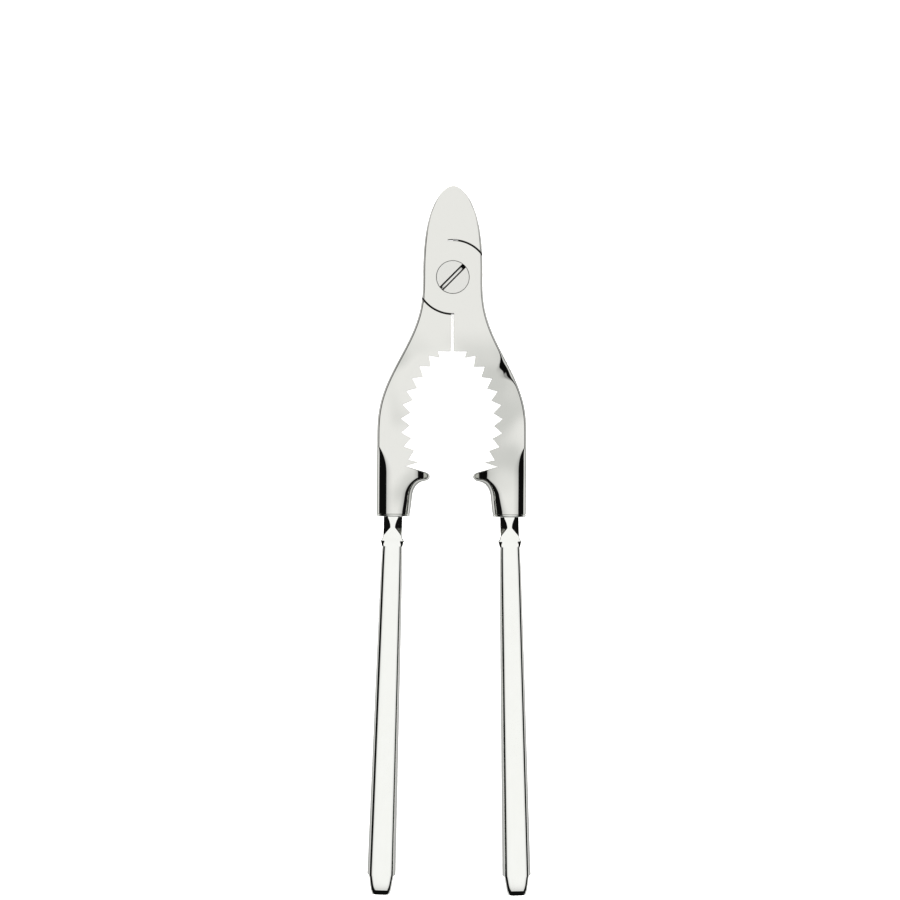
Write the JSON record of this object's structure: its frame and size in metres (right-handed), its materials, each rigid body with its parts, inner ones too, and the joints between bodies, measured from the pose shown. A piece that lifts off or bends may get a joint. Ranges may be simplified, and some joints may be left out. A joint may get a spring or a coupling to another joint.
{
  "type": "nutcracker",
  "caption": "Plier-type table nutcracker with half-lapped levers, a flush slotted pivot screw, pointed tips, toothed nut jaws, finger spurs and long hollow handles.",
  "frame": {"origin": "on the pivot axis, in the plane of the back face that the tool rests on", "axes": "+Y along the tool from the handles to the pointed tip, +X across it to the right seen from the front, +Z out of the front face along the pivot axis"},
  "size_m": [0.0418, 0.1807, 0.008],
  "materials": {
    "head_steel": "polished stainless steel",
    "screw_steel": "turned and faced steel",
    "silver": "polished silver",
    "handle_cement": "resin and plaster filling"
  },
  "bodies": {
    "left_lever": {"left_jaw": "head_steel", "pivot_screw": "screw_steel", "left_seat_plate": "silver", "left_ferrule": "silver", "left_handle_front_shell": "silver", "left_handle_back_shell": "silver", "left_handle_cement": "handle_cement", "left_handle_end_plate": "silver"},
    "right_lever": {"right_jaw": "head_steel", "right_seat_plate": "silver", "right_ferrule": "silver", "right_handle_front_shell": "silver", "right_handle_back_shell": "silver", "right_handle_cement": "handle_cement", "right_handle_end_plate": "silver"}
  },
  "joints": [
    {"name": "jaw_pivot", "type": "hinge", "parent": "left_lever", "child": "right_lever", "pos_m": [0, 0, 0.004], "axis": [0, 0, 1], "range_deg": [0, 70]}
  ]
}
